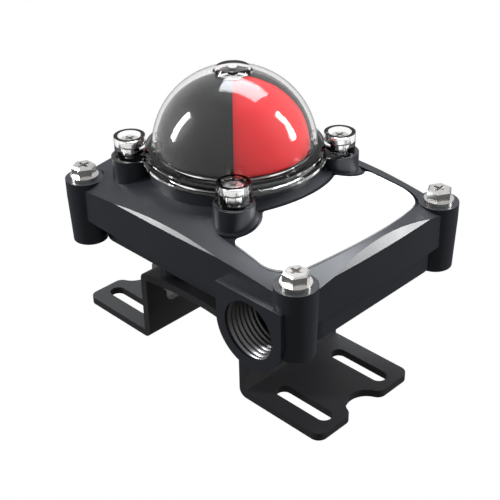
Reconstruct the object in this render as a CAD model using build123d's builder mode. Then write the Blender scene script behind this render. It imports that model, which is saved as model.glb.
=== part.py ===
from build123d import *
import math
import os

# ------------------------------------------------------------------
# Valve limit switch box. Millimetres, +Z up.
# Origin: shaft axis, in the plane under the bracket feet.
# +X points to the long end of the box, which carries the nameplate.
# ------------------------------------------------------------------

# bracket
SHEET = 3.0              # sheet thickness
BRACKET_TOP = 30.0       # upper face of the top plate
WALL_X = 27.7            # outer face of each wall
FOOT_END = 63.0
HALF_Y = 24.7            # half width of the bracket
WAIST = 2.2              # how far the top plate's edges curve in
SLOT_X, SLOT_Y = 47.0, 15.0
SLOT_LENGTH, SLOT_WIDTH = 25.0, 6.2
NOTCH_R = 8.0
FIX_X, FIX_Y = 18.0, 16.0          # screws between bracket and housing

# box
BOLT_FRONT, BOLT_REAR, BOLT_Y = 62.0, -41.0, 35.7
BOSS_R = 7.0
BOSS_UNDER = 44.5        # underside of the housing's corner bosses
FLOOR_UNDER, FLOOR_TOP = 46.0, 49.5
BAND_UNDER = 55.0        # lower edge of the housing's outer band
PARTING = 62.5
BOLT_SEAT = 69.2         # top of the cover's corner bosses
BOLT_END = 54.5          # lower end of the cover bolts
CROWN_TOP = 77.2         # highest point of the cover's crowned top
CROWN_ACROSS, CROWN_ALONG, CROWN_X = 118.0, 300.0, 8.0   # its two radii, and where it is highest
EDGE_Z = 68.8            # top of the cover's upright sides
SIDE_Y, BOW = 39.6, 1.6
FRONT_X, REAR_X = 66.2, -44.6
WALL = 3.4
CEILING = 72.0

# cable entries
ENTRY_X, ENTRY_Z = 49.3, 50.2
ENTRY_R, ENTRY_BOSS_R = 10.3, 14.2
ENTRY_FACE = 44.0        # distance of each entry's mouth from the middle
ENTRY_DEPTH = 15.0

# dome
SEAT = 79.5              # top of the cover's round neck
DOME_Z, DOME_R, DOME_WALL = 81.9, 29.0, 1.2
NECK_R = 30.2            # black neck under the dome's rim
RIM_R = 32.4
BUTTON_H = 0.7           # raised button at the dome's crown
EAR_AT, EAR_R, EAR_TOP = 36.5, 5.5, 87.0
EAR_BOSS_R = 6.9
SHROUD_R, SHROUD_WALL = 27.5, 1.0
DRUM_R, DRUM_WALL = 26.2, 1.2

# shaft and switches
SHAFT_R, SPINDLE_R, DRIVE_R = 4.0, 6.0, 5.0
DRIVE_TOP = 31.0         # the drive end reaches from SHAFT_END up to here
SHAFT_TOP, SHAFT_END = 83.0, 20.0
RUN = 0.05               # radial clearance of the running fits
CAM_LOW, CAM_HIGH, CAM_T = 8.0, 9.5, 2.2
CAM_A_Z, CAM_B_Z = 56.0, 64.0
ROLLER_R, ROLLER_GAP = 1.5, 0.15
SWITCH_X, SWITCH_D, SWITCH_W, SWITCH_T = 15.0, 10.2, 20.0, 6.4

CORNERS = [(BOLT_FRONT, -BOLT_Y), (BOLT_FRONT, BOLT_Y),
           (BOLT_REAR, BOLT_Y), (BOLT_REAR, -BOLT_Y)]
EARS = [(EAR_AT * math.cos(math.radians(a)), EAR_AT * math.sin(math.radians(a)))
        for a in (45, 135, 225, 315)]
FIXINGS = [(x, y) for x in (-FIX_X, FIX_X) for y in (-FIX_Y, FIX_Y)]

os.makedirs("parts", exist_ok=True)


def box_outline(inset):
    """Box outline in plan: four sides that bow outwards a little."""
    y, front, rear = SIDE_Y - inset, FRONT_X - inset, REAR_X + inset
    with BuildLine() as line:
        ThreePointArc((rear, -y), ((front + rear) / 2, -y - BOW), (front, -y))
        ThreePointArc((front, -y), (front + BOW, 0), (front, y))
        ThreePointArc((front, y), ((front + rear) / 2, y + BOW), (rear, y))
        ThreePointArc((rear, y), (rear - 0.6, 0), (rear, -y))
    return line.line


def crown(depth):
    """Solid under the cover's double-curved top, lowered by depth."""
    with BuildPart() as part:
        with Locations((CROWN_X, 0, CROWN_TOP - CROWN_ALONG)):
            Torus(CROWN_ALONG - CROWN_ACROSS, CROWN_ACROSS - depth, rotation=(90, 0, 0))
    return part.part


def plate_shape(grow):
    """Nameplate outline: bowed outer side, hollowed round the dome and its ears."""
    with BuildSketch() as sketch:
        with BuildLine():
            Line((28, -33.0), (44, -34.3))
            ThreePointArc((44, -34.3), (52.6, -33.0), (58.0, -27.5))
            ThreePointArc((58.0, -27.5), (62.6, 0), (58.0, 27.5))
            ThreePointArc((58.0, 27.5), (52.6, 33.0), (44, 34.3))
            Polyline((44, 34.3), (28, 33.0), (28, -33.0))
        make_face()
        offset(amount=grow, kind=Kind.INTERSECTION)
        Circle(35.6 - grow, mode=Mode.SUBTRACT)
        with Locations(*EARS):
            Circle(9.2 - grow, mode=Mode.SUBTRACT)
    return sketch.sketch


under_crown, under_plate, under_recess = crown(0), crown(0.1), crown(0.9)
plate_outline, recess_outline = plate_shape(0.0), plate_shape(1.2)

# ------------------------------------------------------------------ housing
with BuildPart() as housing:
    with BuildSketch(Plane.XY.offset(BAND_UNDER)):
        make_face(box_outline(0.0))
    extrude(amount=PARTING - BAND_UNDER)
    with BuildSketch(Plane.XY.offset(FLOOR_UNDER)):
        with Locations((13.5, 0)):
            RectangleRounded(103.0, 68.0, 8.0)
    extrude(amount=PARTING - FLOOR_UNDER - 1.0)
    with Locations(*[(x, y, BOSS_UNDER) for x, y in CORNERS]):
        Cone(BOSS_R - 0.6, BOSS_R, PARTING - BOSS_UNDER,
             align=(Align.CENTER, Align.CENTER, Align.MIN))
    # cable entry bosses on both long sides
    for side in (-1, 1):
        with BuildSketch(Plane.XZ.offset(-side * ENTRY_FACE)):
            with Locations((ENTRY_X, ENTRY_Z)):
                Circle(ENTRY_BOSS_R)
            with Locations((ENTRY_X, ENTRY_Z + 6.0)):
                Rectangle(2 * ENTRY_BOSS_R, 12.6)
        extrude(amount=side * ENTRY_DEPTH + side * 3.0)
    # neck around the shaft and the four standoffs
    with BuildSketch(Plane.XY.offset(34.0)):
        Circle(11.0)
    extrude(amount=FLOOR_TOP + 1.5 - 34.0)
    with BuildSketch(Plane.XY.offset(BRACKET_TOP)):
        with Locations(*FIXINGS):
            Circle(5.0)
    extrude(amount=FLOOR_TOP - BRACKET_TOP)
    # nothing of the bosses stands above the parting face
    with BuildSketch(Plane.XY.offset(PARTING)):
        with Locations((10, 0)):
            Rectangle(160, 130)
    extrude(amount=12, mode=Mode.SUBTRACT)
    # cavity, kept clear of the corner bosses
    with BuildSketch(Plane.XY.offset(FLOOR_TOP)):
        with Locations((10.8, 0)):
            RectangleRounded(96.0, 60.0, 8.0)
        with Locations(*CORNERS):
            Circle(BOSS_R + 1.5, mode=Mode.SUBTRACT)
    extrude(amount=PARTING - FLOOR_TOP, mode=Mode.SUBTRACT)
    # the neck's top stays above the floor as a thrust face
    with BuildSketch(Plane.XY.offset(FLOOR_TOP)):
        Circle(11.0)
        with Locations((20.1, 7.5), (20.1, -7.5)):
            Circle(3.0)
        with Locations((38.0, 22.9), (38.0, -22.9)):
            Circle(3.2)
    extrude(amount=1.5)
    # threaded cable entries
    for side in (-1, 1):
        with BuildSketch(Plane.XZ.offset(-side * ENTRY_FACE)):
            with Locations((ENTRY_X, ENTRY_Z)):
                Circle(ENTRY_R)
        extrude(amount=side * ENTRY_DEPTH, mode=Mode.SUBTRACT)
    # shaft bore with room for the bush, screw holes
    with BuildSketch(Plane.XY.offset(30.0)):
        Circle(8.0)
    extrude(amount=FLOOR_TOP + 2 - 30.0, mode=Mode.SUBTRACT)
    with BuildSketch(Plane.XY.offset(BRACKET_TOP - 1)):
        with Locations(*FIXINGS):
            Circle(2.5)
    extrude(amount=13.0, mode=Mode.SUBTRACT)
    with BuildSketch(Plane.XY.offset(BOLT_END - 1.0)):
        with Locations(*CORNERS):
            Circle(2.6)
    extrude(amount=20, mode=Mode.SUBTRACT)
    with BuildSketch(Plane.XY.offset(47.0)):
        with Locations((20.1, 7.5), (20.1, -7.5), (38.0, 22.9), (38.0, -22.9)):
            Circle(1.5)
    extrude(amount=6, mode=Mode.SUBTRACT)
    # ground screw boss on the floor
    with BuildSketch(Plane.XY.offset(FLOOR_TOP)):
        with Locations((-28.0, -18.0)):
            Circle(4.0)
    extrude(amount=3.0)
    with BuildSketch(Plane.XY.offset(FLOOR_TOP - 1.5)):
        with Locations((-28.0, -18.0)):
            Circle(2.0)
    extrude(amount=5.0, mode=Mode.SUBTRACT)
    # gasket groove
    with BuildSketch(Plane.XY.offset(PARTING - 2.0)):
        with Locations((10.8, 0)):
            RectangleRounded(102.4, 66.4, 11.2)
            RectangleRounded(98.4, 62.4, 9.2, mode=Mode.SUBTRACT)
        with Locations(*CORNERS):
            Circle(BOSS_R - 1.0, mode=Mode.SUBTRACT)
    extrude(amount=2.0, mode=Mode.SUBTRACT)
housing.part.label = "housing"
export_step(housing.part, "parts/housing.step")

with BuildPart() as cover_gasket:
    with BuildSketch(Plane.XY.offset(PARTING - 2.0)):
        with Locations((10.8, 0)):
            RectangleRounded(102.4, 66.4, 11.2)
            RectangleRounded(98.4, 62.4, 9.2, mode=Mode.SUBTRACT)
        with Locations(*CORNERS):
            Circle(BOSS_R - 1.0, mode=Mode.SUBTRACT)
    extrude(amount=2.0)
cover_gasket.part.label = "cover_gasket"
export_step(cover_gasket.part, "parts/cover_gasket.step")

# recess for the nameplate, at one depth under the crown
with BuildPart() as plate_recess:
    with BuildSketch(Plane.XY.offset(66.0)):
        add(recess_outline)
    extrude(amount=16)
    with BuildSketch(Plane.XY.offset(66.0)):
        with Locations(*EARS):
            Circle(EAR_BOSS_R)
    extrude(amount=16, mode=Mode.SUBTRACT)
    add(under_recess, mode=Mode.SUBTRACT)

# ------------------------------------------------------------------ cover
with BuildPart() as cover:
    with BuildSketch(Plane.XY.offset(PARTING)):
        make_face(box_outline(0.0))
    extrude(amount=EDGE_Z - PARTING)
    with BuildSketch(Plane.XY.offset(EDGE_Z)):
        make_face(box_outline(0.0))
    extrude(amount=9.0, taper=38)
    add(under_crown, mode=Mode.INTERSECT)
    with BuildSketch(Plane.XY.offset(PARTING)):
        with Locations(*CORNERS):
            Circle(BOSS_R)
    extrude(amount=BOLT_SEAT - PARTING)
    with BuildSketch(Plane.XY.offset(BOLT_SEAT)):
        with Locations(*CORNERS):
            Circle(BOSS_R)
    extrude(amount=8, mode=Mode.SUBTRACT)
    with Locations(*[(x, y, PARTING) for x, y in CORNERS]):
        Cylinder(3.1, 2 * (BOLT_SEAT - PARTING) + 2, mode=Mode.SUBTRACT)
    # round neck and ear bosses under the dome
    with Locations((0, 0, PARTING + 1.5)):
        Cylinder(NECK_R, SEAT - PARTING - 1.5, align=(Align.CENTER, Align.CENTER, Align.MIN))
    for k, (x, y) in enumerate(EARS):
        with Locations(Location((x, y, PARTING + 1.0), (0, 0, 45 + 90 * k))):
            Cylinder(EAR_BOSS_R, SEAT - PARTING - 1.0, align=(Align.CENTER, Align.CENTER, Align.MIN))
    with Locations(*[(x, y, SEAT) for x, y in EARS]):
        Cylinder(2.0, 16.0, mode=Mode.SUBTRACT)
    # hollow underside
    with BuildSketch(Plane.XY.offset(PARTING)):
        with Locations((10.8, 0)):
            RectangleRounded(96.0, 60.0, 8.0)
        with Locations(*CORNERS):
            Circle(BOSS_R + 1.5, mode=Mode.SUBTRACT)
    extrude(amount=5.0, mode=Mode.SUBTRACT)
    with BuildSketch(Plane.XY.offset(PARTING)):
        with Locations((10.8, 0)):
            RectangleRounded(92.0, 46.0, 6.0)
        with Locations(*EARS):
            Circle(4.5, mode=Mode.SUBTRACT)
    extrude(amount=CEILING - PARTING, mode=Mode.SUBTRACT)
    # shaft bore with O-ring gland
    with Locations((0, 0, 77)):
        Cylinder(SHAFT_R + RUN, 30, mode=Mode.SUBTRACT)
    with Locations((0, 0, 76.0)):
        Cylinder(5.9, 2.0, mode=Mode.SUBTRACT)
    # dome gasket groove
    with BuildSketch(Plane.XY.offset(SEAT - 1.2)):
        Circle(28.9)
        Circle(28.0, mode=Mode.SUBTRACT)
    extrude(amount=1.2, mode=Mode.SUBTRACT)
    # screw holes
    add(plate_recess.part, mode=Mode.SUBTRACT)
cover.part.label = "cover"
export_step(cover.part, "parts/cover.step")

with BuildPart() as nameplate:
    with BuildSketch(Plane.XY.offset(66.0)):
        add(plate_outline)
        fillet(vertices(), 1.5)
    extrude(amount=16)
    add(under_plate, mode=Mode.INTERSECT)
    add(under_recess, mode=Mode.SUBTRACT)
nameplate.part.label = "nameplate"
export_step(nameplate.part, "parts/nameplate.step")

# ------------------------------------------------------------------ cover bolts
with BuildPart() as cover_washers:
    with BuildSketch(Plane.XY.offset(BOLT_SEAT)):
        with Locations(*CORNERS):
            Circle(5.1)
            Circle(2.8, mode=Mode.SUBTRACT)
    extrude(amount=1.2)
cover_washers.part.label = "cover_washers"
export_step(cover_washers.part, "parts/cover_washers.step")

with BuildPart() as cover_bolts:
    with BuildSketch(Plane.XY.offset(BOLT_SEAT + 1.2)):
        with Locations(*CORNERS):
            RegularPolygon(4.4, 6)
    extrude(amount=3.6)
    chamfer(cover_bolts.faces().sort_by(Axis.Z)[-4:].edges(), 0.5)
    with BuildSketch(Plane.XY.offset(BOLT_END)):
        with Locations(*CORNERS):
            Circle(2.6)
    extrude(amount=BOLT_SEAT + 1.4 - BOLT_END)
    with BuildSketch(Plane.XY.offset(BOLT_SEAT + 3.0)):
        with Locations(*CORNERS):
            Rectangle(4.6, 1.1)
            Rectangle(1.1, 4.6)
    extrude(amount=2.0, mode=Mode.SUBTRACT)
cover_bolts.part.label = "cover_bolts"
export_step(cover_bolts.part, "parts/cover_bolts.step")

# ------------------------------------------------------------------ dome
with BuildPart() as dome:
    with BuildSketch(Plane.XZ) as dome_section:
        with BuildLine():
            Line((0, DOME_Z + DOME_R - DOME_WALL), (0, DOME_Z + DOME_R + BUTTON_H))
            Line((0, DOME_Z + DOME_R + BUTTON_H), (5.6, DOME_Z + DOME_R + BUTTON_H))
            Line((5.6, DOME_Z + DOME_R + BUTTON_H), (6.8, DOME_Z + math.sqrt(DOME_R ** 2 - 6.8 ** 2)))
            ThreePointArc((6.8, DOME_Z + math.sqrt(DOME_R ** 2 - 6.8 ** 2)),
                          (DOME_R * math.sin(math.radians(50)), DOME_Z + DOME_R * math.cos(math.radians(50))),
                          (DOME_R * math.cos(math.radians(4)), DOME_Z + DOME_R * math.sin(math.radians(4))))
            Polyline((DOME_R * math.cos(math.radians(4)), DOME_Z + DOME_R * math.sin(math.radians(4))),
                     (30.6, 83.6), (31.6, 82.8), (31.6, 81.1), (RIM_R, 80.7), (RIM_R, SEAT),
                     (DOME_R - DOME_WALL, SEAT), (DOME_R - DOME_WALL, DOME_Z))
            ThreePointArc((DOME_R - DOME_WALL, DOME_Z),
                          ((DOME_R - DOME_WALL) * math.sin(math.radians(45)),
                           DOME_Z + (DOME_R - DOME_WALL) * math.cos(math.radians(45))),
                          (0, DOME_Z + DOME_R - DOME_WALL))
        make_face()
    revolve(axis=Axis.Z)
    with BuildSketch(Plane.XY.offset(SEAT)):
        for a in (45, 135, 225, 315):
            with Locations((EAR_AT * math.cos(math.radians(a)), EAR_AT * math.sin(math.radians(a)))):
                Circle(EAR_R)
            with Locations(Location((33.0 * math.cos(math.radians(a)), 33.0 * math.sin(math.radians(a))), a)):
                Rectangle(6.5, 12.0)
    extrude(amount=2.6)
    with BuildSketch(Plane.XY.offset(SEAT)):
        with Locations(*EARS):
            Circle(EAR_R)
    extrude(amount=EAR_TOP - SEAT)
    with BuildSketch(Plane.XY.offset(SEAT - 1)):
        Circle(DOME_R - DOME_WALL)
    extrude(amount=DOME_Z - SEAT + 1, mode=Mode.SUBTRACT)
    with BuildPart(mode=Mode.SUBTRACT):
        with Locations((0, 0, DOME_Z)):
            Sphere(DOME_R - DOME_WALL)
    with BuildSketch(Plane.XY.offset(SEAT - 1)):
        with Locations(*EARS):
            Circle(2.3)
    extrude(amount=12, mode=Mode.SUBTRACT)
    with BuildSketch(Plane.XY.offset(83.5)):
        with Locations(*EARS):
            Circle(4.1)
    extrude(amount=6, mode=Mode.SUBTRACT)
    with Locations((0, 0, DOME_Z + DOME_R + BUTTON_H)):
        Cylinder(1.5, 1.2, mode=Mode.SUBTRACT)
dome.part.label = "dome"
export_step(dome.part, "parts/dome.step")

with BuildPart() as dome_plug:
    with Locations((0, 0, DOME_Z + DOME_R + BUTTON_H - 0.3)):
        Cylinder(1.5, 0.6)
dome_plug.part.label = "dome_plug"
export_step(dome_plug.part, "parts/dome_plug.step")

with BuildPart() as dome_gasket:
    with BuildSketch(Plane.XY.offset(SEAT - 1.2)):
        Circle(28.9)
        Circle(28.0, mode=Mode.SUBTRACT)
    extrude(amount=1.2)
dome_gasket.part.label = "dome_gasket"
export_step(dome_gasket.part, "parts/dome_gasket.step")

with BuildPart() as dome_screws:
    with BuildSketch(Plane.XY.offset(83.5)):
        with Locations(*EARS):
            Circle(3.6)
    extrude(amount=2.4)
    fillet(dome_screws.faces().sort_by(Axis.Z)[-4:].edges(), 0.9)
    with BuildSketch(Plane.XY.offset(SEAT - 7.5)):
        with Locations(*EARS):
            Circle(2.0)
    extrude(amount=83.7 - SEAT + 7.5)
    with BuildSketch(Plane.XY.offset(84.5)):
        with Locations(*EARS):
            Rectangle(3.8, 0.9)
            Rectangle(0.9, 3.8)
    extrude(amount=2.0, mode=Mode.SUBTRACT)
dome_screws.part.label = "dome_screws"
export_step(dome_screws.part, "parts/dome_screws.step")

# ------------------------------------------------------------------ position indicator
# one window's worth of a ball, a quarter turn wide, centred on +X
with BuildPart() as quarter:
    with BuildSketch(Plane.XZ):
        with BuildLine():
            lo, hi = math.radians(3), math.radians(81)
            Polyline((8 * math.cos(lo), DOME_Z + 8 * math.sin(lo)),
                     (34 * math.cos(lo), DOME_Z + 34 * math.sin(lo)),
                     (34, DOME_Z + 34), (34 * math.cos(hi), DOME_Z + 34),
                     (8 * math.cos(hi), DOME_Z + 8 * math.sin(hi)),
                     (8 * math.cos(lo), DOME_Z + 8 * math.sin(lo)))
        make_face()
    revolve(axis=Axis.Z, revolution_arc=90)
centre_turn = -math.degrees(math.atan2(quarter.part.center().Y, quarter.part.center().X))
window = quarter.part.rotate(Axis.Z, centre_turn)

with BuildPart() as indicator_shroud:
    with Locations((0, 0, DOME_Z)):
        Sphere(SHROUD_R)
        Sphere(SHROUD_R - SHROUD_WALL, mode=Mode.SUBTRACT)
    with BuildSketch(Plane.XY.offset(SEAT - 40)):
        Circle(60)
    extrude(amount=40, mode=Mode.SUBTRACT)
    add(window, mode=Mode.SUBTRACT)
    add(window.rotate(Axis.Z, 180), mode=Mode.SUBTRACT)
    with BuildSketch(Plane.XY.offset(SEAT)):
        Circle(27.3)
        Circle(26.4, mode=Mode.SUBTRACT)
    extrude(amount=1.0)
indicator_shroud.part.label = "indicator_shroud"
export_step(indicator_shroud.part, "parts/indicator_shroud.step")

# drum: a ball shell in four coloured quarters, open at the top round its screw
with BuildPart() as drum_shell:
    with Locations((0, 0, DOME_Z)):
        Sphere(DRUM_R)
        Sphere(DRUM_R - DRUM_WALL, mode=Mode.SUBTRACT)
    with BuildSketch(Plane.XY.offset(DOME_Z - 1.0)):
        Circle(60)
    extrude(amount=-60, mode=Mode.SUBTRACT)

with BuildPart() as wedge:
    with BuildSketch(Plane.XY.offset(DOME_Z - 5)):
        with BuildLine():
            Polyline((0, 0), (40, 40), (60, 0), (40, -40), (0, 0))
        make_face()
    extrude(amount=60)

with BuildPart() as drum_red:
    add(drum_shell.part & wedge.part)
    add(drum_shell.part & wedge.part.rotate(Axis.Z, 180))
drum_red.part.label = "drum_red"
export_step(drum_red.part, "parts/drum_red.step")

with BuildPart() as drum_green:
    add(drum_shell.part & wedge.part.rotate(Axis.Z, 90))
    add(drum_shell.part & wedge.part.rotate(Axis.Z, 270))
drum_green.part.label = "drum_green"
export_step(drum_green.part, "parts/drum_green.step")

with BuildPart() as drum_hub:
    with Locations((0, 0, DOME_Z)):
        Sphere(DRUM_R - DRUM_WALL)
    with BuildSketch(Plane.XY.offset(DOME_Z - 1.0)):
        Circle(60)
    extrude(amount=-60, mode=Mode.SUBTRACT)
    with BuildSketch(Plane.XY.offset(DOME_Z + 1.0)):
        Circle(60)
    extrude(amount=60, mode=Mode.SUBTRACT)
    with BuildSketch(Plane.XY.offset(DOME_Z - 1.0)):
        Circle(7.0)
    extrude(amount=4.0)
    with BuildSketch(Plane.XY.offset(DOME_Z - 2)):
        with PolarLocations(15.0, 6):
            Circle(4.5)
    extrude(amount=5, mode=Mode.SUBTRACT)
    with BuildSketch(Plane.XY.offset(DOME_Z - 2)):
        Circle(1.5)
    extrude(amount=8, mode=Mode.SUBTRACT)
    # flats of the shaft's tongue
    with BuildSketch(Plane.XY.offset(DOME_Z - 1.0)):
        Rectangle(2 * SHAFT_R, 4.0)
    extrude(amount=SHAFT_TOP - DOME_Z + 1.0, mode=Mode.SUBTRACT)
drum_hub.part.label = "drum_hub"
export_step(drum_hub.part, "parts/drum_hub.step")

with BuildPart() as drum_screw:
    with BuildSketch(Plane.XY.offset(DOME_Z + 3.0)):
        Circle(3.2)
    extrude(amount=2.0)
    fillet(drum_screw.faces().sort_by(Axis.Z)[-1].edges(), 0.8)
    with BuildSketch(Plane.XY.offset(SHAFT_TOP - 6.0)):
        Circle(1.5)
    extrude(amount=DOME_Z + 3.2 - SHAFT_TOP + 6.0)
    with BuildSketch(Plane.XY.offset(DOME_Z + 4.0)):
        Rectangle(3.4, 0.8)
        Rectangle(0.8, 3.4)
    extrude(amount=2.0, mode=Mode.SUBTRACT)
drum_screw.part.label = "drum_screw"
export_step(drum_screw.part, "parts/drum_screw.step")

# ------------------------------------------------------------------ shaft
with BuildPart() as shaft:
    with BuildSketch(Plane.XY.offset(SHAFT_END)):
        Circle(DRIVE_R)
    extrude(amount=DRIVE_TOP - SHAFT_END)
    with BuildSketch(Plane.XY.offset(DRIVE_TOP)):
        Circle(SPINDLE_R)
    extrude(amount=51.2 - DRIVE_TOP)
    chamfer(shaft.faces().sort_by(Axis.Z)[0].edges(), 0.6)
    with BuildSketch(Plane.XY.offset(51.0)):
        Circle(SHAFT_R)
    extrude(amount=DOME_Z - 1.0 - 51.0)
    with BuildSketch(Plane.XY.offset(DOME_Z - 1.0)):
        Circle(SHAFT_R)
        Rectangle(2 * SHAFT_R, 4.0, mode=Mode.INTERSECT)
    extrude(amount=SHAFT_TOP - DOME_Z + 1.0)
    # drive slot across the lower end
    with BuildSketch(Plane.XY.offset(SHAFT_END - 1)):
        Rectangle(20, 3.6)
    extrude(amount=5.0, mode=Mode.SUBTRACT)
    # grooves for two O-rings and the clip, tapped hole for the drum screw
    for z in (38.5, 43.0):
        with BuildSketch(Plane.XY.offset(z)):
            Circle(SPINDLE_R + 1)
            Circle(SPINDLE_R - 1.2, mode=Mode.SUBTRACT)
        extrude(amount=2.0, mode=Mode.SUBTRACT)
    with BuildSketch(Plane.XY.offset(32.0)):
        Circle(SPINDLE_R + 1)
        Circle(SPINDLE_R - 0.8, mode=Mode.SUBTRACT)
    extrude(amount=1.2, mode=Mode.SUBTRACT)
    with BuildSketch(Plane.XY.offset(SHAFT_TOP - 8.0)):
        Circle(1.5)
    extrude(amount=9.0, mode=Mode.SUBTRACT)
shaft.part.label = "shaft"
export_step(shaft.part, "parts/shaft.step")

with BuildPart() as shaft_bush:
    with BuildSketch(Plane.XY.offset(34.0)):
        Circle(8.0)
        Circle(SPINDLE_R + RUN, mode=Mode.SUBTRACT)
    extrude(amount=16.5)
shaft_bush.part.label = "shaft_bush"
export_step(shaft_bush.part, "parts/shaft_bush.step")

with BuildPart() as shaft_o_rings:
    for z in (38.5, 43.0):
        with BuildSketch(Plane.XY.offset(z)):
            Circle(SPINDLE_R + 0.02)
            Circle(SPINDLE_R - 1.2, mode=Mode.SUBTRACT)
        extrude(amount=2.0)
shaft_o_rings.part.label = "shaft_o_rings"
export_step(shaft_o_rings.part, "parts/shaft_o_rings.step")

with BuildPart() as top_o_ring:
    with BuildSketch(Plane.XY.offset(75.0)):
        Circle(5.9)
        Circle(SHAFT_R + 0.03, mode=Mode.SUBTRACT)
    extrude(amount=2.0)
    fillet(top_o_ring.edges(), 0.6)
top_o_ring.part.label = "top_o_ring"
export_step(top_o_ring.part, "parts/top_o_ring.step")

with BuildPart() as thrust_washer:
    with BuildSketch(Plane.XY.offset(33.4)):
        Circle(9.5)
        Circle(SPINDLE_R + 0.1, mode=Mode.SUBTRACT)
    extrude(amount=0.6)
thrust_washer.part.label = "thrust_washer"
export_step(thrust_washer.part, "parts/thrust_washer.step")

with BuildPart() as retaining_clip:
    with BuildSketch(Plane.XY.offset(32.05)):
        Circle(8.0)
        Circle(SPINDLE_R - 0.8, mode=Mode.SUBTRACT)
        with Locations((-8, 0)):
            Rectangle(8.0, 4.0, mode=Mode.SUBTRACT)
    extrude(amount=1.1)
retaining_clip.part.label = "retaining_clip"
export_step(retaining_clip.part, "parts/retaining_clip.step")


# ------------------------------------------------------------------ cams
def cam_profile(start, end):
    """Closed spiral line: radius runs evenly from start (facing +X) to end
    (facing -Y), carries on a little past both, then closes round the back."""
    def at(deg, r):
        return (r * math.cos(math.radians(deg)), r * math.sin(math.radians(deg)))
    rise = (end - start) / 90.0
    spiral = [at(-d, start + rise * d) for d in range(-12, 103, 6)]
    a0, a1 = -102.0, 12.0 - 360.0
    r0, r1 = start + rise * 102, start - rise * 12
    back = [at(a0 + (a1 - a0) * k / 12, r0 + (r1 - r0) * (1 - math.cos(math.pi * k / 12)) / 2)
            for k in range(13)]
    with BuildLine() as line:
        Spline(*spiral)
        Spline(*back)
    return line.line


def cam(z, start, end):
    with BuildPart() as part:
        with BuildSketch(Plane.XY.offset(z - CAM_T / 2)):
            make_face(cam_profile(start, end))
        extrude(amount=CAM_T)
        with BuildSketch(Plane.XY.offset(z - 2.5)):
            Circle(6.2)
        extrude(amount=5.0)
        with Locations((0, 0, z)):
            Cylinder(SHAFT_R, 12, mode=Mode.SUBTRACT)
    return part


cam_a = cam(CAM_A_Z, CAM_LOW, CAM_HIGH)
cam_a.part.label = "cam_a"
export_step(cam_a.part, "parts/cam_a.step")

cam_b = cam(CAM_B_Z, CAM_HIGH, CAM_LOW)
cam_b.part.label = "cam_b"
export_step(cam_b.part, "parts/cam_b.step")

with BuildPart() as cam_collars:
    with BuildSketch(Plane.XY.offset(51.2)):
        Circle(5.4)
        Circle(SHAFT_R, mode=Mode.SUBTRACT)
    extrude(amount=CAM_A_Z - 2.5 - 51.2)
    with BuildSketch(Plane.XY.offset(69.6)):
        Circle(5.6)
        Circle(SHAFT_R, mode=Mode.SUBTRACT)
    extrude(amount=1.6)
cam_collars.part.label = "cam_collars"
export_step(cam_collars.part, "parts/cam_collars.step")

with BuildPart() as cam_springs:
    for z0, z1 in ((CAM_A_Z + 2.5, CAM_B_Z - 2.5), (CAM_B_Z + 2.5, 69.6)):
        turns = 2.0
        with BuildLine() as coil:
            Helix(pitch=(z1 - z0 - 0.8) / turns, height=z1 - z0 - 0.8, radius=4.9,
                  center=(0, 0, z0 + 0.4))
        with BuildSketch(Plane(origin=coil.line @ 0, z_dir=coil.line % 0)):
            Circle(0.4)
        sweep(path=coil.line, is_frenet=True)
cam_springs.part.label = "cam_springs"
export_step(cam_springs.part, "parts/cam_springs.step")

# ------------------------------------------------------------------ switches
SWITCH_MID = SWITCH_X + SWITCH_D / 2
SWITCH_HOLES = [(SWITCH_MID, 7.5), (SWITCH_MID, -7.5)]


def switch_body(z):
    with BuildPart() as part:
        with Locations((SWITCH_MID, 0, z)):
            Box(SWITCH_D, SWITCH_W, SWITCH_T)
        fillet(part.edges().filter_by(Axis.Z), 0.6)
        with BuildSketch(Plane.YZ.offset(SWITCH_X - 0.01)):
            with Locations((0, z)):
                Circle(1.2 + RUN)
        extrude(amount=5.5, mode=Mode.SUBTRACT)
        with BuildSketch(Plane.XY.offset(z - SWITCH_T)):
            with Locations(*SWITCH_HOLES):
                Circle(1.6)
        extrude(amount=2 * SWITCH_T, mode=Mode.SUBTRACT)
    return part


def plunger(z, x):
    """Fork and rod. x is the roller's centre."""
    with BuildPart() as part:
        with BuildSketch(Plane.XY.offset(z - 2.2)):
            with Locations((x, 0)):
                Circle(1.2)
            with Locations((x + 1.4, 0)):
                Rectangle(2.8, 2.4)
        extrude(amount=4.4)
        with BuildSketch(Plane.XY.offset(z - 1.35)):
            with Locations((x, 0)):
                Circle(ROLLER_R + 0.1)
                Rectangle(4.0, 4.0, align=(Align.MAX, Align.CENTER))
        extrude(amount=2.7, mode=Mode.SUBTRACT)
        with BuildSketch(Plane.YZ.offset(x + 2.0)):
            with Locations((0, z)):
                Circle(1.2)
        extrude(amount=SWITCH_X + 3.0 - x - 2.0 + (0.8 if x < 10 else 2.3))
        with Locations((x, 0, z)):
            Cylinder(0.5, 8, mode=Mode.SUBTRACT)
    return part


def roller(z, x):
    with BuildPart() as part:
        with Locations((x, 0, z)):
            Cylinder(ROLLER_R, 2.6)
            Cylinder(0.5, 4.4)
    return part


ROLLER_A = CAM_LOW + ROLLER_GAP + ROLLER_R
ROLLER_B = CAM_HIGH + ROLLER_GAP + ROLLER_R

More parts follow.
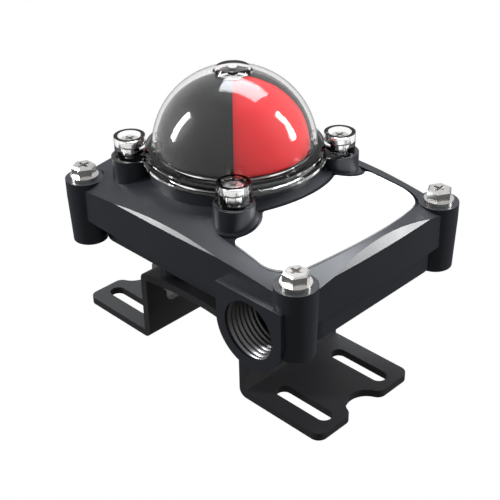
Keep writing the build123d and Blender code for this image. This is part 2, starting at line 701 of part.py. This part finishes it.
switch_a = switch_body(CAM_A_Z)
switch_a.part.label = "switch_a"
export_step(switch_a.part, "parts/switch_a.step")
switch_b = switch_body(CAM_B_Z)
switch_b.part.label = "switch_b"
export_step(switch_b.part, "parts/switch_b.step")
plunger_a = plunger(CAM_A_Z, ROLLER_A)
plunger_a.part.label = "plunger_a"
export_step(plunger_a.part, "parts/plunger_a.step")
plunger_b = plunger(CAM_B_Z, ROLLER_B)
plunger_b.part.label = "plunger_b"
export_step(plunger_b.part, "parts/plunger_b.step")
roller_a = roller(CAM_A_Z, ROLLER_A)
roller_a.part.label = "roller_a"
export_step(roller_a.part, "parts/roller_a.step")
roller_b = roller(CAM_B_Z, ROLLER_B)
roller_b.part.label = "roller_b"
export_step(roller_b.part, "parts/roller_b.step")

with BuildPart() as switch_terminals:
    for z in (CAM_A_Z, CAM_B_Z):
        with Locations(*[(SWITCH_X + SWITCH_D + 1.9, y, z) for y in (-6.0, 0.0, 6.0)]):
            Box(3.8, 3.0, 0.6)
switch_terminals.part.label = "switch_terminals"
export_step(switch_terminals.part, "parts/switch_terminals.step")

with BuildPart() as switch_carrier:
    with BuildSketch(Plane.XY.offset(51.0)):
        with Locations((SWITCH_MID, 0)):
            RectangleRounded(11.6, 24.0, 1.5)
        with Locations(*SWITCH_HOLES):
            Circle(1.6, mode=Mode.SUBTRACT)
    extrude(amount=CAM_A_Z - SWITCH_T / 2 - 51.0)
switch_carrier.part.label = "switch_carrier"
export_step(switch_carrier.part, "parts/switch_carrier.step")

with BuildPart() as switch_spacer:
    with BuildSketch(Plane.XY.offset(CAM_A_Z + SWITCH_T / 2)):
        with Locations((SWITCH_MID, 0)):
            RectangleRounded(SWITCH_D, 21.0, 1.0)
        with Locations(*SWITCH_HOLES):
            Circle(1.6, mode=Mode.SUBTRACT)
    extrude(amount=CAM_B_Z - CAM_A_Z - SWITCH_T)
switch_spacer.part.label = "switch_spacer"
export_step(switch_spacer.part, "parts/switch_spacer.step")

with BuildPart() as switch_screws:
    top = CAM_B_Z + SWITCH_T / 2
    with BuildSketch(Plane.XY.offset(top)):
        with Locations(*SWITCH_HOLES):
            Circle(2.7)
    extrude(amount=2.0)
    fillet(switch_screws.faces().sort_by(Axis.Z)[-2:].edges(), 0.7)
    with BuildSketch(Plane.XY.offset(47.5)):
        with Locations(*SWITCH_HOLES):
            Circle(1.5)
    extrude(amount=top + 0.2 - 47.5)
    with BuildSketch(Plane.XY.offset(top + 1.0)):
        with Locations(*SWITCH_HOLES):
            Rectangle(3.0, 0.7)
            Rectangle(0.7, 3.0)
    extrude(amount=2.0, mode=Mode.SUBTRACT)
switch_screws.part.label = "switch_screws"
export_step(switch_screws.part, "parts/switch_screws.step")

# ------------------------------------------------------------------ terminal block
POLES = [-18.9 + 5.4 * k for k in range(8)]
with BuildPart() as terminal_block:
    with Locations((38.0, 0, 51.0)):
        Box(10.0, 50.0, 4.0, align=(Align.CENTER, Align.CENTER, Align.MIN))
        Box(10.0, 41.2, 12.0, align=(Align.CENTER, Align.CENTER, Align.MIN))
    with Locations(*[(38.0, y, 63.0) for y in POLES]):
        Box(7.0, 4.0, 5.0, mode=Mode.SUBTRACT)
    with Locations(*[(43.0, y, 57.6) for y in POLES]):
        Box(6.0, 3.4, 3.4, mode=Mode.SUBTRACT)
    with Locations((38.0, 22.9, 51), (38.0, -22.9, 51)):
        Cylinder(1.6, 20, mode=Mode.SUBTRACT)
terminal_block.part.label = "terminal_block"
export_step(terminal_block.part, "parts/terminal_block.step")

with BuildPart() as terminal_screws:
    with BuildSketch(Plane.XY.offset(60.5)):
        with Locations(*[(38.0, y) for y in POLES]):
            Circle(1.9)
    extrude(amount=1.8)
    with BuildSketch(Plane.XY.offset(61.5)):
        with Locations(*[(38.0, y) for y in POLES]):
            Rectangle(4.4, 0.6)
    extrude(amount=2.0, mode=Mode.SUBTRACT)
terminal_screws.part.label = "terminal_screws"
export_step(terminal_screws.part, "parts/terminal_screws.step")

with BuildPart() as block_screws:
    with BuildSketch(Plane.XY.offset(55.0)):
        with Locations((38.0, 22.9), (38.0, -22.9)):
            Circle(2.2)
    extrude(amount=1.8)
    with BuildSketch(Plane.XY.offset(48.0)):
        with Locations((38.0, 22.9), (38.0, -22.9)):
            Circle(1.5)
    extrude(amount=7.2)
    with BuildSketch(Plane.XY.offset(56.0)):
        with Locations((38.0, 22.9), (38.0, -22.9)):
            Rectangle(3.0, 0.7)
            Rectangle(0.7, 3.0)
    extrude(amount=2.0, mode=Mode.SUBTRACT)
block_screws.part.label = "block_screws"
export_step(block_screws.part, "parts/block_screws.step")

with BuildPart() as ground_washer:
    with BuildSketch(Plane.XY.offset(FLOOR_TOP + 3.0)):
        with Locations((-28.0, -18.0)):
            Circle(4.4)
            Circle(2.1, mode=Mode.SUBTRACT)
    extrude(amount=0.8)
ground_washer.part.label = "ground_washer"
export_step(ground_washer.part, "parts/ground_washer.step")

with BuildPart() as ground_screw:
    with BuildSketch(Plane.XY.offset(FLOOR_TOP + 3.8)):
        with Locations((-28.0, -18.0)):
            Circle(3.6)
    extrude(amount=2.6)
    fillet(ground_screw.faces().sort_by(Axis.Z)[-1].edges(), 0.9)
    with BuildSketch(Plane.XY.offset(FLOOR_TOP - 1.0)):
        with Locations((-28.0, -18.0)):
            Circle(2.0)
    extrude(amount=5.0)
    with BuildSketch(Plane.XY.offset(FLOOR_TOP + 5.0)):
        with Locations((-28.0, -18.0)):
            Rectangle(4.0, 0.9)
            Rectangle(0.9, 4.0)
    extrude(amount=2.0, mode=Mode.SUBTRACT)
ground_screw.part.label = "ground_screw"
export_step(ground_screw.part, "parts/ground_screw.step")

# ------------------------------------------------------------------ blanking plug
with BuildPart() as blanking_plug:
    with BuildSketch(Plane.XZ.offset(-ENTRY_FACE + 9.0)):
        with Locations((ENTRY_X, ENTRY_Z)):
            Circle(ENTRY_R)
    extrude(amount=-9.0)
    with BuildSketch(Plane.XZ.offset(-ENTRY_FACE)):
        with Locations((ENTRY_X, ENTRY_Z)):
            RegularPolygon(12.2, 6)
    extrude(amount=-4.0)
    with BuildSketch(Plane.XZ.offset(-ENTRY_FACE + 10.0)):
        with Locations((ENTRY_X, ENTRY_Z)):
            Circle(7.5)
    extrude(amount=-8.0, mode=Mode.SUBTRACT)
blanking_plug.part.label = "blanking_plug"
export_step(blanking_plug.part, "parts/blanking_plug.step")

# ------------------------------------------------------------------ mounting bracket
with BuildPart() as bracket:
    with BuildSketch(Plane.XZ.offset(-HALF_Y)):
        with BuildLine():
            Polyline((-FOOT_END, 0), (-FOOT_END, SHEET), (-WALL_X, SHEET),
                     (-WALL_X, BRACKET_TOP), (WALL_X, BRACKET_TOP), (WALL_X, SHEET),
                     (FOOT_END, SHEET), (FOOT_END, 0), (WALL_X - SHEET, 0),
                     (WALL_X - SHEET, BRACKET_TOP - SHEET),
                     (-WALL_X + SHEET, BRACKET_TOP - SHEET), (-WALL_X + SHEET, 0),
                     (-FOOT_END, 0))
        make_face()
    extrude(amount=2 * HALF_Y)
    # bends
    for x in (-WALL_X, WALL_X):
        fillet(bracket.edges().filter_by(Axis.Y).filter_by_position(Axis.X, x - 0.1, x + 0.1)
               .filter_by_position(Axis.Z, BRACKET_TOP - 0.1, BRACKET_TOP + 0.1), 3.4)
    for x in (-WALL_X + SHEET, WALL_X - SHEET):
        fillet(bracket.edges().filter_by(Axis.Y).filter_by_position(Axis.X, x - 0.1, x + 0.1)
               .filter_by_position(Axis.Z, -0.1, 0.1), 3.2)
    # curved front and back edges of the top plate
    with BuildSketch(Plane.XY.offset(BRACKET_TOP - SHEET - 2)):
        for s in (-1, 1):
            with BuildLine():
                ThreePointArc((-WALL_X + 4, s * HALF_Y), (0, s * (HALF_Y - WAIST)),
                              (WALL_X - 4, s * HALF_Y))
                Line((WALL_X - 4, s * HALF_Y), (-WALL_X + 4, s * HALF_Y))
            make_face()
    extrude(amount=6, mode=Mode.SUBTRACT)
    # feet: slots, outer notch, rounded corners
    with BuildSketch(Plane.XY.offset(-1)):
        with Locations(*[(x, y) for x in (-SLOT_X, SLOT_X) for y in (-SLOT_Y, SLOT_Y)]):
            SlotOverall(SLOT_LENGTH, SLOT_WIDTH)
        with Locations((-FOOT_END - 1.0, 0), (FOOT_END + 1.0, 0)):
            Circle(NOTCH_R)
    extrude(amount=6, mode=Mode.SUBTRACT)
    fillet(bracket.edges().filter_by(Axis.Z).filter_by_position(Axis.X, FOOT_END - 0.6, FOOT_END + 0.6), 3.6)
    fillet(bracket.edges().filter_by(Axis.Z).filter_by_position(Axis.X, -FOOT_END - 0.6, -FOOT_END + 0.6), 3.6)
    # openings in the walls
    with BuildSketch(Plane.YZ.offset(-WALL_X - 1)):
        with Locations((0, 18.0)):
            RectangleRounded(30.0, 11.0, 3.0)
    extrude(amount=2 * WALL_X + 2, mode=Mode.SUBTRACT)
    # shaft opening and fixing holes
    with BuildSketch(Plane.XY.offset(BRACKET_TOP - SHEET - 1)):
        Circle(13.0)
        with Locations(*FIXINGS):
            Circle(2.8)
    extrude(amount=6, mode=Mode.SUBTRACT)
bracket.part.label = "bracket"
export_step(bracket.part, "parts/bracket.step")

with BuildPart() as bracket_washers:
    with BuildSketch(Plane.XY.offset(BRACKET_TOP - SHEET - 1.0)):
        with Locations(*FIXINGS):
            Circle(4.8)
            Circle(2.7, mode=Mode.SUBTRACT)
    extrude(amount=1.0)
bracket_washers.part.label = "bracket_washers"
export_step(bracket_washers.part, "parts/bracket_washers.step")

with BuildPart() as bracket_screws:
    head_top = BRACKET_TOP - SHEET - 1.0
    with BuildSketch(Plane.XY.offset(head_top - 3.2)):
        with Locations(*FIXINGS):
            RegularPolygon(4.0, 6, major_radius=False)
    extrude(amount=3.2)
    with BuildSketch(Plane.XY.offset(head_top - 0.2)):
        with Locations(*FIXINGS):
            Circle(2.5)
    extrude(amount=14.0)
    with BuildSketch(Plane.XY.offset(head_top - 4.0)):
        with Locations(*FIXINGS):
            Rectangle(4.2, 1.0)
            Rectangle(1.0, 4.2)
    extrude(amount=2.2, mode=Mode.SUBTRACT)
bracket_screws.part.label = "bracket_screws"
export_step(bracket_screws.part, "parts/bracket_screws.step")
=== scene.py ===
"""Looks of the valve limit switch box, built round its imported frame."""
import math

import bpy
from mathutils import Matrix, Vector


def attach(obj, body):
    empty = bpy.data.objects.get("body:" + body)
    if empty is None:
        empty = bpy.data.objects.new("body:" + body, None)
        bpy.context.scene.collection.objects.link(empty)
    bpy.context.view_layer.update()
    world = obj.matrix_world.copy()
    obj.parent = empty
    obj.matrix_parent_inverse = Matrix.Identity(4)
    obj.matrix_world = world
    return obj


MM = 0.001

# softened edges, in mm
CAST_EDGE, SHEET_EDGE, SMALL_EDGE = 0.7, 0.35, 0.15
EDGE_ANGLE = math.radians(35)        # faces that meet more sharply than this have an edge

# fine grain of a surface
GRAIN_DETAIL, GRAIN_STRENGTH = 4.0, 0.5
GLOSS_SPREAD = 12                    # how much wider the patches of gloss are than the grain

# thread in the cable entry, in mm
ENTRY_MOUTH, INWARDS = (49.3, -44.0, 50.2), (0, 1, 0)
THREAD_START, THREAD_LENGTH, PITCH = 0.9, 12.6, 1.814
BORE_R, CREST_R = 10.3, 9.2
ROOT_SINK, CREST_CUT = 0.02, 0.12    # root set into the wall, crest cut flat
ROOT_HALF, CREST_HALF = 0.48, 0.07   # half widths of the ridge, in pitches
PER_TURN, RUN_OUT = 64, 0.6          # points in a turn, and turns over which the ridge fades
LEAST_HEIGHT, LEAST_WIDTH = 0.02, 0.1   # what is left of the ridge at its two ends

# surroundings: strength of the world below and above, and where the ramp between them lies
DIM, PALE = 0.12, 0.6
RAMP_LOW, RAMP_HIGH = -0.35, 0.5
SEEN_WHITE = 1.0                     # what the camera and the clear dome see behind the object

# camera, in degrees and metres
CAMERA_TURN, CAMERA_RISE, CAMERA_ROLL = 45.45, 31.23, -1.21
CAMERA_PLACE = (0.23972, -0.22963, 0.24082)
LENS, SENSOR, CLIP_START = 75.56, 36, 0.01

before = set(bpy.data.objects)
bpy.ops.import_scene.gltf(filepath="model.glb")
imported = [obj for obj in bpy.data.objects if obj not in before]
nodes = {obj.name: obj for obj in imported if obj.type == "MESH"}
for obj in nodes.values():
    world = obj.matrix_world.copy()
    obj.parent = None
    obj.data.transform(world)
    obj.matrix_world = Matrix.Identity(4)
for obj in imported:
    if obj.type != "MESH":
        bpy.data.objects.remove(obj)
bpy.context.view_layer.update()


# ---------------------------------------------------------------- materials
def principled(name, color, rough=0.5, metal=0.0, **more):
    mat = bpy.data.materials.new(name)
    mat.use_nodes = True
    shader = mat.node_tree.nodes["Principled BSDF"]
    shader.inputs["Base Color"].default_value = (*color, 1.0)
    shader.inputs["Roughness"].default_value = rough
    shader.inputs["Metallic"].default_value = metal
    for key, value in more.items():
        shader.inputs[key.replace("_", " ")].default_value = value
    return mat


def grain(mat, scale, height, rough_low=None, rough_high=None):
    """Cast, coated or rolled surface: bump, its height in mm, and a little change in gloss."""
    tree = mat.node_tree
    shader = tree.nodes["Principled BSDF"]
    coord = tree.nodes.new("ShaderNodeTexCoord")
    noise = tree.nodes.new("ShaderNodeTexNoise")
    noise.inputs["Scale"].default_value = scale
    noise.inputs["Detail"].default_value = GRAIN_DETAIL
    bump = tree.nodes.new("ShaderNodeBump")
    bump.inputs["Strength"].default_value = GRAIN_STRENGTH
    bump.inputs["Distance"].default_value = height * MM
    tree.links.new(coord.outputs["Object"], noise.inputs["Vector"])
    tree.links.new(noise.outputs["Fac"], bump.inputs["Height"])
    tree.links.new(bump.outputs["Normal"], shader.inputs["Normal"])
    if rough_low is not None:
        slow = tree.nodes.new("ShaderNodeTexNoise")
        slow.inputs["Scale"].default_value = scale / GLOSS_SPREAD
        spread = tree.nodes.new("ShaderNodeMapRange")
        spread.inputs["To Min"].default_value = rough_low
        spread.inputs["To Max"].default_value = rough_high
        tree.links.new(coord.outputs["Object"], slow.inputs["Vector"])
        tree.links.new(slow.outputs["Fac"], spread.inputs["Value"])
        tree.links.new(spread.outputs["Result"], shader.inputs["Roughness"])
    return mat


coat = grain(principled("coat", (0.012, 0.0135, 0.018), 0.36), 900, 0.04, 0.30, 0.42)
sheet = grain(principled("sheet", (0.010, 0.010, 0.012), 0.45), 1500, 0.03, 0.40, 0.52)
clear = principled("clear", (1.0, 1.0, 1.0), 0.02,
                   Transmission_Weight=1.0, IOR=1.36, Specular_IOR_Level=0.22)
rubber = grain(principled("rubber", (0.02, 0.02, 0.02), 0.75), 1200, 0.03)
black = principled("black", (0.003, 0.003, 0.0035), 0.45, Specular_IOR_Level=0.25)
bright = grain(principled("bright", (0.80, 0.79, 0.77), 0.22, 1.0), 1600, 0.01, 0.16, 0.30)
steel = grain(principled("steel", (0.62, 0.62, 0.63), 0.32, 1.0), 1600, 0.01, 0.26, 0.38)
brass = principled("brass", (0.75, 0.56, 0.26), 0.3, 1.0)
red = principled("red", (0.62, 0.003, 0.008), 0.5, Specular_IOR_Level=0.25)
green = principled("green", (0.01, 0.25, 0.06), 0.35)
white = principled("white", (0.78, 0.78, 0.76), 0.45)
grey = principled("grey", (0.42, 0.42, 0.43), 0.5)
plate = grain(principled("plate", (0.86, 0.87, 0.88), 0.42, 0.15), 700, 0.01, 0.38, 0.48)

LOOKS = {
    coat: ["housing", "cover"],
    sheet: ["bracket"],
    clear: ["dome"],
    rubber: ["cover_gasket", "dome_gasket", "top_o_ring", "shaft_o_rings"],
    black: ["indicator_shroud", "switch_a", "switch_b", "blanking_plug"],
    bright: ["cover_bolts", "cover_washers", "dome_screws"],
    steel: ["shaft", "thrust_washer", "retaining_clip", "roller_a", "roller_b", "cam_springs",
            "switch_carrier", "switch_screws", "terminal_screws", "block_screws", "drum_screw",
            "ground_washer", "ground_screw", "bracket_washers", "bracket_screws"],
    brass: ["shaft_bush", "switch_terminals"],
    red: ["drum_red", "cam_a", "plunger_a", "plunger_b"],
    green: ["drum_green", "cam_b"],
    white: ["drum_hub", "cam_collars"],
    grey: ["dome_plug", "switch_spacer", "terminal_block"],
    plate: ["nameplate"],
}
for mat, names in LOOKS.items():
    for name in names:
        nodes[name].data.materials.clear()
        nodes[name].data.materials.append(mat)


# ---------------------------------------------------------------- softened edges
def soften(names, width, segments=0):
    """Smooth shading between sharp edges, and round edges where a width is given."""
    for name in names:
        obj = nodes[name]
        for poly in obj.data.polygons:
            poly.use_smooth = True
        obj.data.set_sharp_from_angle(angle=EDGE_ANGLE)
        if width:
            bevel = obj.modifiers.new("edge", "BEVEL")
            bevel.width = width * MM
            bevel.segments = segments
            bevel.limit_method = "ANGLE"
            bevel.angle_limit = EDGE_ANGLE
            bevel.harden_normals = True


soften(["housing", "cover"], CAST_EDGE, 3)
soften(["bracket"], SHEET_EDGE, 2)
soften(["cover_bolts", "cover_washers", "dome_screws", "bracket_screws", "bracket_washers",
        "blanking_plug", "nameplate"], SMALL_EDGE, 2)
soften([n for n in nodes if not nodes[n].modifiers], 0)


# ---------------------------------------------------------------- cable entry's thread
def add_mesh(name, verts, faces, mat, body):
    """Smooth mesh from points in mm, riding a body of the frame."""
    mesh = bpy.data.meshes.new(name)
    mesh.from_pydata([tuple(c * MM for c in v) for v in verts], [], faces)
    mesh.update()
    for poly in mesh.polygons:
        poly.use_smooth = True
    obj = bpy.data.objects.new(name, mesh)
    bpy.context.scene.collection.objects.link(obj)
    mesh.materials.append(mat)
    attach(obj, body)


def thread(name, mat, body):
    """Internal right-hand thread: a V ridge wound along an axis, its root on the bore wall."""
    axis = Vector(INWARDS).normalized()
    u = axis.orthogonal().normalized()
    v = axis.cross(u)
    root, crest = BORE_R + ROOT_SINK, CREST_R + CREST_CUT
    section = [(root, -ROOT_HALF), (crest, -CREST_HALF), (crest, CREST_HALF), (root, ROOT_HALF)]
    count = int(THREAD_LENGTH / PITCH * PER_TURN)
    fade = PER_TURN * RUN_OUT
    verts, faces = [], []
    for k in range(count + 1):
        turn = 2 * math.pi * k / PER_TURN
        spoke = u * math.cos(turn) + v * math.sin(turn)
        ease = min(1.0, k / fade, (count - k) / fade)
        for r, along in section:
            radius = BORE_R + (r - BORE_R) * max(ease, LEAST_HEIGHT)
            depth = THREAD_START + PITCH * (k / PER_TURN + along * max(ease, LEAST_WIDTH))
            verts.append(tuple(Vector(ENTRY_MOUTH) + axis * depth + spoke * radius))
    n = len(section)
    for k in range(count):
        for j in range(n - 1):
            a = k * n + j
            faces.append((a, a + 1, a + n + 1, a + n))
    add_mesh(name, verts, faces, mat, body)


thread_coat = principled("thread", (0.16, 0.16, 0.165), 0.30, 0.8)
thread("entry_thread", thread_coat, "box")

# ---------------------------------------------------------------- light and camera
scene = bpy.context.scene
scene.view_settings.view_transform = "Standard"


def surroundings():
    """White to the camera and through the clear dome, a soft vertical ramp to all else."""
    world = bpy.data.worlds.new("studio")
    scene.world = world
    world.use_nodes = True
    tree = world.node_tree
    background = tree.nodes["Background"]
    path = tree.nodes.new("ShaderNodeLightPath")
    coord = tree.nodes.new("ShaderNodeTexCoord")
    split = tree.nodes.new("ShaderNodeSeparateXYZ")
    ramp = tree.nodes.new("ShaderNodeMapRange")
    ramp.inputs["From Min"].default_value = RAMP_LOW
    ramp.inputs["From Max"].default_value = RAMP_HIGH
    ramp.inputs["To Min"].default_value = DIM
    ramp.inputs["To Max"].default_value = PALE
    mix = tree.nodes.new("ShaderNodeMix")
    mix.data_type = "FLOAT"
    factor, unseen, seen_value = mix.inputs[0], mix.inputs[2], mix.inputs[3]
    seen_value.default_value = SEEN_WHITE
    seen = tree.nodes.new("ShaderNodeMath")
    seen.operation = "MAXIMUM"
    tree.links.new(path.outputs["Is Camera Ray"], seen.inputs[0])
    tree.links.new(path.outputs["Is Transmission Ray"], seen.inputs[1])
    tree.links.new(coord.outputs["Generated"], split.inputs["Vector"])
    tree.links.new(split.outputs["Z"], ramp.inputs["Value"])
    tree.links.new(ramp.outputs["Result"], unseen)
    tree.links.new(seen.outputs["Value"], factor)
    tree.links.new(mix.outputs[0], background.inputs["Strength"])
    background.inputs["Color"].default_value = (1, 1, 1, 1)


def area(name, place, target, size, power, color=(1, 1, 1)):
    """Rectangular lamp at a place, turned to a target; metres and watts."""
    lamp = bpy.data.lights.new(name, "AREA")
    lamp.shape = "RECTANGLE"
    lamp.size, lamp.size_y = size
    lamp.energy = power
    lamp.color = color
    obj = bpy.data.objects.new(name, lamp)
    scene.collection.objects.link(obj)
    obj.location = place
    obj.rotation_euler = (Vector(target) - Vector(place)).to_track_quat("-Z", "Y").to_euler()


def add_camera():
    """Camera that looks from CAMERA_PLACE along its turn and rise, rolled a little."""
    turn, rise, roll = (math.radians(a) for a in (CAMERA_TURN, CAMERA_RISE, CAMERA_ROLL))
    back = Vector((math.sin(turn) * math.cos(rise), -math.cos(turn) * math.cos(rise), math.sin(rise)))
    level = Vector((math.cos(turn), math.sin(turn), 0))
    upright = back.cross(level)
    right = level * math.cos(roll) + upright * math.sin(roll)
    up = upright * math.cos(roll) - level * math.sin(roll)
    data = bpy.data.cameras.new("camera")
    data.lens = LENS
    data.sensor_width = SENSOR
    data.dof.use_dof = False
    data.clip_start = CLIP_START
    camera = bpy.data.objects.new("camera", data)
    scene.collection.objects.link(camera)
    matrix = Matrix((right, up, back)).transposed().to_4x4()
    matrix.translation = Vector(CAMERA_PLACE)
    camera.matrix_world = matrix
    scene.camera = camera


surroundings()
area("left_box", (-0.50, -0.42, 0.34), (0, 0, 0.08), (0.10, 0.42), 6.0)
area("right_box", (0.42, 0.46, 0.34), (0, 0, 0.08), (0.10, 0.42), 6.0)
area("top_box", (-0.10, 0.25, 0.65), (0, 0, 0.06), (0.5, 0.3), 5.0, (0.92, 0.96, 1.0))
add_camera()
